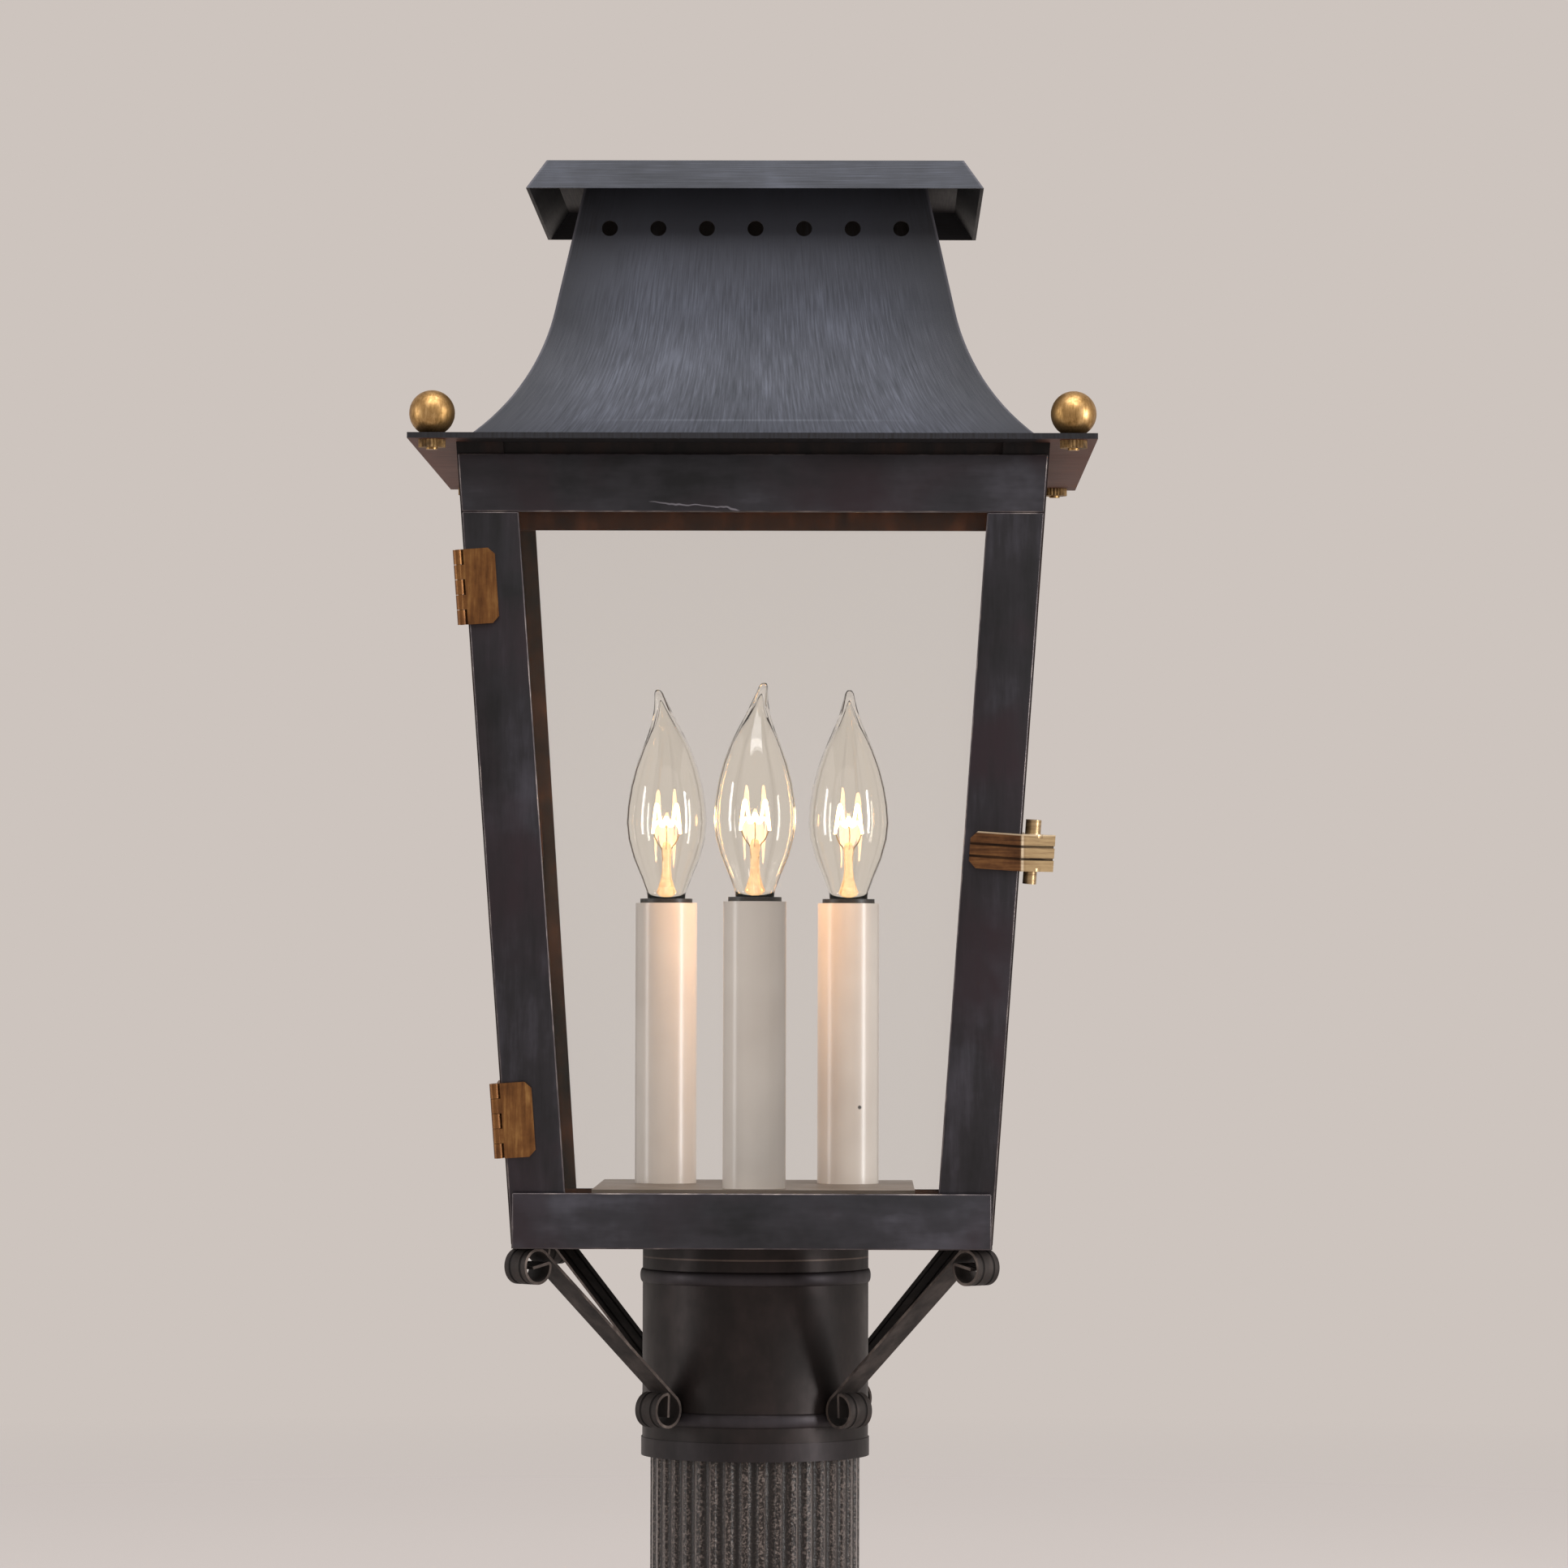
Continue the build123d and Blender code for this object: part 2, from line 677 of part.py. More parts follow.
def build_nodes():
    nodes = {
        "fluted_post": fluted_post(),
        "post_fitter": post_fitter(),
        "set_screws": set_screws(),
        "fitter_screws": fitter_screws(),
        "base_plate": base_plate(),
        "eaves_plate": eaves_plate(),
        "ball_finials": ball_finials(),
        "finial_nuts": finial_nuts(),
        "roof_hood": roof_hood(),
        "vent_cap": vent_cap(),
        "cap_brackets": cap_brackets(),
        "pane_clips": pane_clips(),
        "door_pane": door_pane(),
        "door_clips": door_clips(),
        "latch_plate": latch_plate(),
        "latch_pin": latch_pin(),
        "latch_keeper": latch_keeper(),
        "candle_tray": candle_tray(),
        "lamp_sockets": lamp_sockets(),
        "lamp_stems": lamp_stems(),
        "stem_nuts": stem_nuts(),
    }
    nodes.update(door_bars())
    corners = {"front_left": (-1, -1), "front_right": (1, -1), "rear_left": (-1, 1), "rear_right": (1, 1)}
    for name, (side_x, side_y) in corners.items():
        nodes["corner_" + name] = corner_angle(side_x, side_y)
        nodes["brace_" + name] = scroll_brace(degrees(atan2(side_y, side_x)))
    for name, angle in {"rear": 0, "left": 90, "front": 180, "right": -90}.items():
        nodes["top_strip_" + name] = frame_strip(glass_high, eaves_z, angle)
        nodes["bottom_strip_" + name] = frame_strip(frame_z, glass_low, angle)
        if name != "front":
            nodes["pane_" + name] = pane(angle)
    hinges = [hinge_parts(z) for z in hinge_heights]
    for name, pieces in zip(("hinge_door_leaves", "hinge_frame_leaves", "hinge_pins"), zip(*hinges)):
        nodes[name] = list(pieces)
    for name, place in zip(lamp_names, lamp_places()):
        nodes["candle_sleeve_" + name] = place * candle_sleeve()
        nodes["bulb_glass_" + name] = place * bulb_glass_shell()
        nodes["bulb_base_" + name] = place * bulb_base()
        nodes["bulb_filament_" + name] = place * bulb_filament()
    return nodes


os.makedirs("parts", exist_ok=True)
for node_name, shape in build_nodes().items():
    solids = shape if isinstance(shape, list) else [shape]
    export_step(Compound(children=[s for piece in solids for s in piece.solids()]), f"parts/{node_name}.step")
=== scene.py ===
import bmesh
import bpy
from math import cos, pi, radians, sin
from mathutils import Matrix, Vector


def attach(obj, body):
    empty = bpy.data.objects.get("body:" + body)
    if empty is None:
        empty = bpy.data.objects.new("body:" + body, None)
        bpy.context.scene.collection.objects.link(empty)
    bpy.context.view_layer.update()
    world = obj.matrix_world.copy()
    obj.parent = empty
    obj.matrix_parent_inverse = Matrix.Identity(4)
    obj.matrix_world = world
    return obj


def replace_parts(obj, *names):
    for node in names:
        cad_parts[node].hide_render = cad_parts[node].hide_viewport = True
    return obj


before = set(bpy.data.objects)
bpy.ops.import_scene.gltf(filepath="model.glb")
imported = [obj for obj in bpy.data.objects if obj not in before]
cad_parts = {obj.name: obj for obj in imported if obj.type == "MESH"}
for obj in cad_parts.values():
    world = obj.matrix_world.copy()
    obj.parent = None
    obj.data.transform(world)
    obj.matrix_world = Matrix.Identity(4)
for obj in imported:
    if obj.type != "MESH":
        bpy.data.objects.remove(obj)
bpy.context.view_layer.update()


# Fluted post: a round aluminium tube with forty shallow flutes, which carries the lantern.
# Its dark bronze powder coat has a sand texture, so it looks speckled and a little dusty on the ridges;
# the flutes are painted near black as shade. The grit, about 0.3 mm in the real coat, is drawn coarser so
# that it shows.
mm = 0.001


def linear(code):
    """Linear RGBA of an sRGB hex colour."""
    parts = [int(code[i:i + 2], 16) / 255 for i in (1, 3, 5)]
    return [p / 12.92 if p <= 0.04045 else ((p + 0.055) / 1.055) ** 2.4 for p in parts] + [1.0]


def add(tree, kind, inputs, stops=(), **settings):
    """Adds a shader node with its settings, sets or links its inputs, and gives its first output in use.

    Inputs are named or numbered, and a colour ramp has stops of place and hex colour.
    """
    node = tree.nodes.new("ShaderNode" + kind)
    for name, value in settings.items():
        setattr(node, name, value)
    for count, (place, code) in enumerate(stops):
        steps = node.color_ramp.elements
        step = steps[count] if count < 2 else steps.new(place)
        step.position = place
        step.color = linear(code)
    for name, value in inputs.items():
        in_use = [s for s in node.inputs if s.enabled]
        socket = in_use[name] if isinstance(name, int) else next(s for s in in_use if s.name == name)
        if isinstance(value, bpy.types.NodeSocket):
            tree.links.new(value, socket)
        else:
            socket.default_value = value
    return next(s for s in node.outputs if s.enabled)


def new_finish(name):
    """A new material, with its node tree, its shader's inputs and its Object coordinates."""
    finish = bpy.data.materials.new(name)
    finish.use_nodes = True
    tree = finish.node_tree
    spot = add(tree, "TexCoord", {}).node.outputs["Object"]
    return finish, tree, tree.nodes["Principled BSDF"].inputs, spot


def dress(finish, *names):
    """Gives CAD nodes their finish."""
    for name in names:
        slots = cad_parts[name].data.materials
        slots.clear()
        slots.append(finish)


def from_axis(tree, spot):
    """Distance of a point from the post's upright axis."""
    level = add(tree, "VectorMath", {0: spot, 1: (1, 1, 0)}, operation="MULTIPLY")
    return add(tree, "VectorMath", {0: level}, operation="LENGTH").node.outputs["Value"]


grit, grit_depth = 0.85 * mm, 0.4 * mm
flute_floor, ridge_top = 36.95 * mm, 37.75 * mm
post_paint, tree, inputs, spot = new_finish("sand_textured_powder_coat")
grains = add(tree, "TexNoise", {"Vector": spot, "Scale": 1 / grit, "Detail": 2.0, "Roughness": 0.7})
flecks = ((0.37, "#0d0908"), (0.64, "#6a5f59"), (0.50, "#261f1c"))
speckle = add(tree, "ValToRGB", {0: grains}, stops=flecks)
# Painted shade: the flutes, below the ridges, are coloured near black.
ridge_outside_flute_shade = add(tree, "MapRange", {0: from_axis(tree, spot), 1: flute_floor, 2: ridge_top})
coat = add(tree, "Mix", {"Factor": ridge_outside_flute_shade, "A": linear("#0d0706"), "B": speckle}, data_type="RGBA")
tree.links.new(coat, inputs["Base Color"])
rough = add(tree, "Bump", {"Height": grains, "Strength": 0.6, "Distance": grit_depth})
tree.links.new(rough, inputs["Normal"])
inputs["Roughness"].default_value = 0.3
inputs["Specular IOR Level"].default_value = 0.3
inputs["Sheen Weight"].default_value = 0.8
inputs["Sheen Roughness"].default_value = 0.42
inputs["Sheen Tint"].default_value = linear("#f0e4de")
dress(post_paint, "fluted_post")


# Post fitter: a spun brass sleeve with two rolled beads and a collar, slipped over the post.
# It is blackened to a satin brown-black and rubbed a little along the beads, which are also painted
# grey-blue as a highlight; a painted highlight runs along the seam at its head.
def blackened(name, colours, streak, patch, shine, metal=0.55, along=None, marks=()):
    """Blackened copper or brass: brushed streaks, three sizes in millimetres, over slow patches of colour.

    The brush marks, a tenth of a millimetre wide on the real metal, are drawn coarser so that they show.
    along gives the coordinates that the streaks follow, and marks the places rubbed bare or left dark,
    or painted with light or shade, with their colours.
    """
    mark_depth = 0.15 * mm
    finish, tree, inputs, spot = new_finish(name)
    lie = along(tree, spot) if along else spot
    drawn = add(tree, "Mapping", {"Vector": lie, "Scale": [1 / (size * mm) for size in streak]})
    brush = add(tree, "TexNoise", {"Vector": drawn, "Scale": 1.0, "Detail": 4.0, "Roughness": 0.6})
    spread = 1 / (patch * mm)
    cloud = add(tree, "TexNoise", {"Vector": spot, "Scale": spread, "Detail": 4.0, "Roughness": 0.62})
    tone = add(tree, "Mix", {"Factor": 0.5, "A": brush, "B": cloud})
    stops = ((0.36, colours[0]), (0.66, colours[2]), (0.51, colours[1]))
    colour = add(tree, "ValToRGB", {0: tone}, stops=stops)
    uneven = add(tree, "MapRange", {0: brush, 1: 0.3, 2: 0.6, 3: 0.4, 4: 1.0})
    for place, tint in marks:
        part = add(tree, "Math", {0: place(tree, spot), 1: uneven}, operation="MULTIPLY")
        colour = add(tree, "Mix", {"Factor": part, "A": colour, "B": linear(tint)}, data_type="RGBA")
    tree.links.new(colour, inputs["Base Color"])
    dull = add(tree, "MapRange", {0: tone, 1: 0.35, 2: 0.65, 3: shine + 0.08, 4: shine - 0.06})
    tree.links.new(dull, inputs["Roughness"])
    rough = add(tree, "Bump", {"Height": brush, "Strength": 0.12, "Distance": mark_depth})
    tree.links.new(rough, inputs["Normal"])
    inputs["Metallic"].default_value = metal
    return finish


def bead_rub_and_highlight(tree, spot):
    """The beads and the collar, which stand out from the sleeve, rubbed lighter and painted grey-blue as a
    highlight.
    """
    sleeve_outside, bead_outside = 41.2 * mm, 42.0 * mm
    return add(tree, "MapRange", {0: from_axis(tree, spot), 1: sleeve_outside, 2: bead_outside, 4: 0.6})


def near(tree, value, centre, inner, outer):
    """1 within an inner distance of a centre, falling to 0 at an outer one."""
    off = add(tree, "Math", {0: value, 1: centre}, operation="SUBTRACT")
    away = add(tree, "Math", {0: off}, operation="ABSOLUTE")
    return add(tree, "MapRange", {0: away, 1: inner, 2: outer, 3: 1.0, 4: 0.0})


def painted_seam_glint(tree, spot):
    """Painted highlight: a thin light glint along the seam round the head of the sleeve."""
    seam_height = 167.0 * mm
    height = add(tree, "SeparateXYZ", {0: spot}).node.outputs["Z"]
    return near(tree, height, seam_height, 0.15 * mm, 0.4 * mm)


fitter_marks = ((bead_rub_and_highlight, "#3b373d"), (painted_seam_glint, "#5c4f48"))
fitter_brass = blackened("satin_blackened_brass", ("#110c0b", "#1d1615", "#2b2221"), (16, 16, 40), 22, 0.5,
                         marks=fitter_marks)
dress(fitter_brass, "post_fitter")


# Set screws, fitter screws, lamp stems and their nuts: turned steel, zinc plated to a pale grey.
# They clamp the post, hold the base plate and carry the lamp holders, and hardly show.
zinc, tree, inputs, spot = new_finish("zinc_plated_steel")
spangle = add(tree, "TexNoise", {"Vector": spot, "Scale": 1 / (1.5 * mm), "Detail": 3.0})
plating = add(tree, "ValToRGB", {0: spangle}, stops=((0.3, "#6f6e69"), (0.7, "#8f8e88")))
tree.links.new(plating, inputs["Base Color"])
dull = add(tree, "MapRange", {0: spangle, 1: 0.3, 2: 0.7, 3: 0.3, 4: 0.5})
tree.links.new(dull, inputs["Roughness"])
inputs["Metallic"].default_value = 1.0
dress(zinc, "set_screws", "fitter_screws", "lamp_stems", "stem_nuts")


# Base plate: a square of brass sheet, cut and drilled, screwed down on the head of the fitter.
# It carries the frame and the tray, and its coat is the plain brown-black of the sheet.
plate_patina = blackened("blackened_brass_sheet", ("#1b1514", "#2a2321", "#3a312e"), (6, 6, 30), 16, 0.45)
dress(plate_patina, "base_plate")


# Scroll braces: four brass strips rolled with two grooves along one face, curled at both ends on a mandrel
# and soldered to the fitter and the base plate.
# The dark coat is brown on the strip and rubbed light along its sheared edges, and its grooves are painted
# black as shade.
def keep(shape, name, body, slot, *finishes):
    """Makes a smooth mesh piece that rides on a body."""
    mesh = bpy.data.meshes.new(name)
    shape.to_mesh(mesh)
    shape.free()
    mesh.shade_smooth()
    piece = bpy.data.objects.new(name, mesh)
    bpy.context.collection.objects.link(piece)
    for finish in finishes:
        mesh.materials.append(finish)
    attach(piece, body)
    return piece


def curl_end(strip, ring, centre, start, way, turn):
    """Curls the strip about a centre from its start and its way there, and ends it with a straight tail."""
    axis = Vector((0, turn, 0))
    eye_turn, eye_radius, tail_length = radians(100), 0.9 * mm, 7.4 * mm
    rolled = bmesh.ops.spin(strip, geom=ring, cent=centre, axis=axis, angle=curl_turn, steps=52)["geom_last"]
    end = centre + Matrix.Rotation(curl_turn, 3, axis) @ (start - centre)
    eye = end + (centre - end).normalized() * eye_radius
    rolled = bmesh.ops.spin(strip, geom=rolled, cent=eye, axis=axis, angle=eye_turn, steps=10)["geom_last"]
    tail = Matrix.Rotation(curl_turn + eye_turn, 3, axis) @ way * tail_length
    rolled = bmesh.ops.spin(strip, geom=rolled, dvec=tail, axis=axis, angle=0, steps=1)["geom_last"]
    bmesh.ops.contextual_create(strip, geom=[e for e in rolled if isinstance(e, bmesh.types.BMEdge)])


strip_width, strip_thickness, groove_place, groove_depth = 10.7, 1.0, 2.6, 0.28
curl_radius, curl_turn = 5.9 * mm, radians(312)
high_curl, low_curl = Vector((111.6, 0, 166.6)) * mm, Vector((48.4, 0, 113.2)) * mm
strip_patina = blackened("blackened_rolled_strip", ("#181211", "#29221f", "#3e3531"), (6, 6, 30), 16, 0.7,
                         0.25)
# Painted shade: the faces in the grooves get this near-black finish.
groove_shade_black = blackened("rolled_groove_painted_shade", ("#0a0706", "#130d0b", "#1d1613"), (6, 6, 30), 16, 0.8, 0.25)
strip_rub = blackened("rubbed_sheared_edge", ("#2f2724", "#4a403b", "#6b5f58"), (6, 6, 12), 9, 0.6)
edge_half, face_half = strip_width / 2, strip_thickness / 2
floor_half, lip_half, bed_half = face_half - groove_depth, 0.55, 0.3
lip_out, floor_out = groove_place + lip_half, groove_place + bed_half
lip_in, floor_in = groove_place - lip_half, groove_place - bed_half
groove = [(lip_out, face_half), (floor_out, floor_half), (floor_in, floor_half), (lip_in, face_half)]
section = [(edge_half, -face_half), (edge_half, face_half)] + groove
section += [(-across, up) for across, up in section[::-1]]
slope = (high_curl - low_curl).normalized()
rise = Vector((-slope.z, 0, slope.x))
for name, angle in (("front_left", 225), ("front_right", -45), ("rear_left", 135), ("rear_right", 45)):
    strip = bmesh.new()
    foot, head = low_curl + rise * curl_radius, high_curl + rise * curl_radius
    corners = [foot + rise * up * mm + Vector((0, across * mm, 0)) for across, up in section]
    outline = [strip.verts.new(corner) for corner in corners]
    ring = [strip.edges.new(pair) for pair in zip(outline, outline[1:] + outline[:1])]
    drawn = bmesh.ops.extrude_edge_only(strip, edges=ring)["geom"]
    far_points = [v for v in drawn if isinstance(v, bmesh.types.BMVert)]
    far_edges = [e for e in drawn if isinstance(e, bmesh.types.BMEdge)]
    far_ring = [e for e in far_edges if all(v in far_points for v in e.verts)]
    bmesh.ops.translate(strip, verts=far_points, vec=head - foot)
    curl_end(strip, far_points + far_ring, high_curl, head, slope, 1)
    curl_end(strip, outline + ring, low_curl, foot, -slope, -1)
    bmesh.ops.remove_doubles(strip, verts=strip.verts, dist=0.002 * mm)
    bmesh.ops.recalc_face_normals(strip, faces=strip.faces)
    # Groove faces take the painted-shade finish, and the sheared edges the rubbed one.
    for face in strip.faces:
        across = abs(face.calc_center_median().y) / mm
        face.material_index = 2 if across > edge_half - 0.1 else 1 if lip_in < across < lip_out else 0
    facing = Matrix.Rotation(radians(angle), 3, "Z")
    bmesh.ops.rotate(strip, verts=strip.verts, cent=(0, 0, 0), matrix=facing)
    finishes = (strip_patina, groove_shade_black, strip_rub)
    brace = keep(strip, "reeded_brace_" + name, "lantern", "dark_bronze", *finishes)
    brace.data.set_sharp_from_angle(angle=radians(30))
    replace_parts(brace, "brace_" + name)


# Tapered frame: brass angle bars up the four corners with flat strips between them, soldered together,
# and small tabs that hold the glass.
# The coat is purple-black on the outside, and thinner and browner on the inside, behind the glass; the head
# of the frame close under the eaves is painted black as shade.
def outward(tree, spot):
    """How far a face is turned away from the lantern's middle: above 0 outside, and below 0 inside."""
    normal = add(tree, "TexCoord", {}).node.outputs["Normal"]
    level = add(tree, "VectorMath", {0: spot, 1: (1, 1, 0)}, operation="MULTIPLY")
    return add(tree, "VectorMath", {0: normal, 1: level}, operation="DOT_PRODUCT").node.outputs["Value"]


def outer_faces(tree, spot):
    """Faces on the outside of the lantern."""
    just_out, fully_out = 10 * mm, 30 * mm
    return add(tree, "MapRange", {0: outward(tree, spot), 1: just_out, 2: fully_out})


def painted_eaves_shade(tree, spot):
    """The head of the frame, close under the eaves plate, painted black as the shade under the eaves."""
    black_from, black_to = 448 * mm, 452 * mm
    height = add(tree, "SeparateXYZ", {0: spot}).node.outputs["Z"]
    return add(tree, "MapRange", {0: height, 1: black_from, 2: black_to})


frame_patina = blackened("thin_brown_patina", ("#291409", "#47260f", "#6a3d1f"), (9, 9, 40), 22, 0.55,
                         marks=((outer_faces, "#2a2628"), (painted_eaves_shade, "#0c0808")))
frame_bars = ("corner_", "top_strip_", "bottom_strip_")
dress(frame_patina, *[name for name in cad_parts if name.startswith(frame_bars)])
dress(frame_patina, "pane_clips", "door_clips")


# Panes: clear float glass, three in the frame and one in the door, held by the tabs.
# They are so clean that only a faint sheen shows.
float_glass, tree, inputs, spot = new_finish("clear_float_glass")
film = add(tree, "TexNoise", {"Vector": spot, "Scale": 1 / (60 * mm), "Detail": 3.0})
sheen = add(tree, "MapRange", {0: film, 1: 0.3, 2: 0.7, 3: 0.02, 4: 0.08})
tree.links.new(sheen, inputs["Roughness"])
inputs["Base Color"].default_value = linear("#7f8a86")
inputs["Alpha"].default_value = 0.025
dress(float_glass, "pane_rear", "pane_left", "pane_right", "door_pane")


# Candle tray: a folded bronze box on the base plate that hides the wiring and carries three lamp holders.
# It is left a plain light bronze, brushed finely from side to side.
tray_bronze = blackened("brushed_plain_bronze", ("#6c5f52", "#7b6d60", "#8a7b6e"), (40, 1, 1), 30, 0.42,
                        0.7)
dress(tray_bronze, "candle_tray")


# Candle sleeves: glossy ivory tubes, moulded in plastic, that slip down over the lamp holders.
# They look creamy, with a sharp line of light down each side, and one has a small dark chip.
def chip(tree, spot):
    """A small chip low on the right-hand sleeve."""
    chip_place, chip_core, chip_rim = Vector((37.8, 8.9, 221)) * mm, 0.5 * mm, 0.9 * mm
    off = add(tree, "VectorMath", {0: spot, 1: chip_place}, operation="DISTANCE").node.outputs["Value"]
    return add(tree, "MapRange", {0: off, 1: chip_core, 2: chip_rim, 3: 1.0, 4: 0.0})


ivory, tree, inputs, spot = new_finish("ivory_moulded_plastic")
cloud = add(tree, "TexNoise", {"Vector": spot, "Scale": 1 / (24 * mm), "Detail": 3.0})
cream = add(tree, "ValToRGB", {0: cloud}, stops=((0.3, "#c6bbb0"), (0.7, "#d0c6bb")))
dark = linear("#3a302a")
chipped = add(tree, "Mix", {"Factor": chip(tree, spot), "A": cream, "B": dark}, data_type="RGBA")
tree.links.new(chipped, inputs["Base Color"])
inputs["Roughness"].default_value = 0.28
dress(ivory, "candle_sleeve_front", "candle_sleeve_right", "candle_sleeve_left")


# Lamp holders: moulded in black phenolic and screwed on the stems, inside the sleeves.
# Only their rims show above the sleeves, dull black with a faint unevenness.
phenolic, tree, inputs, spot = new_finish("black_moulded_phenolic")
cloud = add(tree, "TexNoise", {"Vector": spot, "Scale": 1 / (2 * mm), "Detail": 3.0})
dull = add(tree, "MapRange", {0: cloud, 1: 0.3, 2: 0.7, 3: 0.35, 4: 0.55})
tree.links.new(dull, inputs["Roughness"])
inputs["Base Color"].default_value = linear("#17110e")
dress(phenolic, "lamp_sockets")


# Flame bulbs: clear glass blown thin and drawn out to a bent tip, on a brass screw shell.
# Inside, a flared glass stem carries wire legs and a coil bent into two peaks, which is lit.
def lathe(profile, steps):
    """Closed surface of revolution about Z from points of radius and height in millimetres."""
    shape = bmesh.new()
    line = [shape.verts.new((r * mm, 0, z * mm)) for r, z in profile]
    edges = [shape.edges.new(pair) for pair in zip(line, line[1:])]
    bmesh.ops.spin(shape, geom=line + edges, cent=(0, 0, 0), axis=(0, 0, 1), angle=2 * pi, steps=steps,
                   use_merge=True)
    bmesh.ops.remove_doubles(shape, verts=shape.verts, dist=0.004 * mm)
    bmesh.ops.recalc_face_normals(shape, faces=shape.faces)
    return shape


def wires(radius, *runs):
    """Round wires through points in millimetres."""
    line = bpy.data.curves.new("wire", "CURVE")
    line.dimensions = "3D"
    for run in runs:
        spline = line.splines.new("NURBS")
        spline.points.add(len(run) - 1)
        for knot, place in zip(spline.points, run):
            knot.co = [c * mm for c in place] + [1.0]
        spline.order_u = 3
        spline.use_endpoint_u = True
        spline.resolution_u = 6
    line.bevel_depth = radius * mm
    line.bevel_resolution = 2
    line.use_fill_caps = True
    holder = bpy.data.objects.new("wire", line)
    bpy.context.collection.objects.link(holder)
    mesh = bpy.data.meshes.new_from_object(holder.evaluated_get(bpy.context.evaluated_depsgraph_get()))
    shape = bmesh.new()
    shape.from_mesh(mesh)
    bpy.data.objects.remove(holder)
    bpy.data.meshes.remove(mesh)
    return shape


# Blown glass is clear and thin, and wavers a little where it was drawn.
blown, tree, inputs, spot = new_finish("clear_blown_glass")
waver = add(tree, "TexNoise", {"Vector": spot, "Scale": 1 / (9 * mm), "Detail": 1.0})
ripple = add(tree, "Bump", {"Height": waver, "Strength": 0.04, "Distance": 0.5 * mm})
tree.links.new(ripple, inputs["Normal"])
inputs["Base Color"].default_value = linear("#fffdf8")
inputs["Transmission Weight"].default_value = 1.0
inputs["Roughness"].default_value = 0.0
inputs["IOR"].default_value = 1.46
# The pressed stem is given a faint amber emission, a painted glow standing in for the coil's light on it,
# stronger in some places than in others.
pressed, tree, inputs, spot = new_finish("pressed_stem_glass")
drawn = add(tree, "TexNoise", {"Vector": spot, "Scale": 1 / (2 * mm), "Detail": 2.0})
painted_coil_glow = add(tree, "ValToRGB", {0: drawn}, stops=((0.35, "#c9731f"), (0.65, "#ffd79a")))
tree.links.new(painted_coil_glow, inputs["Emission Color"])
inputs["Base Color"].default_value = linear("#ffe9c4")
inputs["Transmission Weight"].default_value = 0.8
inputs["Roughness"].default_value = 0.1
inputs["Emission Strength"].default_value = 0.2
# The nickel legs are dull drawn wire.
nickel, tree, inputs, spot = new_finish("drawn_nickel_wire")
drawn = add(tree, "TexNoise", {"Vector": spot, "Scale": 1 / (0.8 * mm), "Detail": 2.0})
tree.links.new(add(tree, "MapRange", {0: drawn, 1: 0.3, 2: 0.7, 3: 0.25, 4: 0.5}), inputs["Roughness"])
inputs["Base Color"].default_value = linear("#94805e")
inputs["Metallic"].default_value = 1.0
# The tungsten coil is white-hot, and yellower where its turns stand apart.
tungsten, tree, inputs, spot = new_finish("lit_tungsten_coil")
turns = add(tree, "TexNoise", {"Vector": spot, "Scale": 1 / (1.0 * mm), "Detail": 1.0})
heat = add(tree, "ValToRGB", {0: turns}, stops=((0.3, "#ffbf70"), (0.7, "#ffdca4")))
tree.links.new(heat, inputs["Emission Color"])
inputs["Base Color"].default_value = linear("#ffdca6")
inputs["Emission Strength"].default_value = 20.0
# The screw shell is pressed brass, rubbed by the holder.
shell_brass, tree, inputs, spot = new_finish("pressed_brass_shell")
rubbing = add(tree, "TexNoise", {"Vector": spot, "Scale": 1 / (3 * mm), "Detail": 3.0})
brass = add(tree, "ValToRGB", {0: rubbing}, stops=((0.3, "#a37c39"), (0.7, "#c29b56")))
tree.links.new(brass, inputs["Base Color"])
inputs["Metallic"].default_value = 1.0
inputs["Roughness"].default_value = 0.32

holder_top, lamp_circle = 297.3, 38.7
envelope = [(6.9, 0), (7.3, 2.5), (9.4, 8), (12.3, 15), (14.2, 22), (14.8, 28), (14.4, 34), (13.3, 41),
            (11.5, 48), (9.0, 55), (6.4, 61), (4.3, 66), (3.0, 70), (2.1, 73.5), (1.6, 75.7), (0.9, 76.8),
            (0, 77)]
hollow = [(0, 73.0), (0.4, 72.3), (1.0, 70.3), (2.1, 67.2), (3.8, 63.6), (5.8, 60.4), (8.4, 54.7),
          (10.9, 47.8), (12.7, 40.9), (13.8, 34), (14.2, 28), (13.6, 22), (11.7, 15), (8.8, 8), (6.7, 2.5),
          (6.3, 0), (6.9, 0)]
stem_profile = [(0, 21), (1.2, 20.6), (1.9, 18.5), (1.7, 15), (1.6, 11), (2.0, 7.5), (3.2, 3.6), (4.8, 0.6),
                (4.8, 0.2), (0, 0.2)]
leg_runs = ([(-1.0, 0, 14), (-1.4, 0, 18.5), (-4.2, 0, 21), (-5.2, 0, 25)],
            [(0, 0.3, 18), (0.4, 0.9, 23), (0, 0.3, 27)],
            [(1.0, 0, 14), (1.4, 0, 18.5), (4.2, 0, 21), (5.2, 0, 25)])
coil_runs = ([(-5.3, 0, 24), (-5.0, 0.4, 27), (-3.6, 0.8, 37), (-2.4, 0.6, 29), (-1.2, 0.2, 27),
              (0, 0.3, 31), (1.2, -0.2, 27), (2.4, -0.6, 29), (3.6, -0.8, 37), (5.0, -0.4, 27),
              (5.3, 0, 24)],
             [(-5.0, 0.2, 26), (-3.4, -0.6, 29.5), (-1.6, 0.8, 26), (0, 0.3, 28.5), (1.6, -0.8, 26),
              (3.4, 0.6, 29.5), (5.0, -0.2, 26)])
leg_radius, coil_radius, coil_height = 0.22, 0.55, 30
bend_from, bulb_height = 52, 77
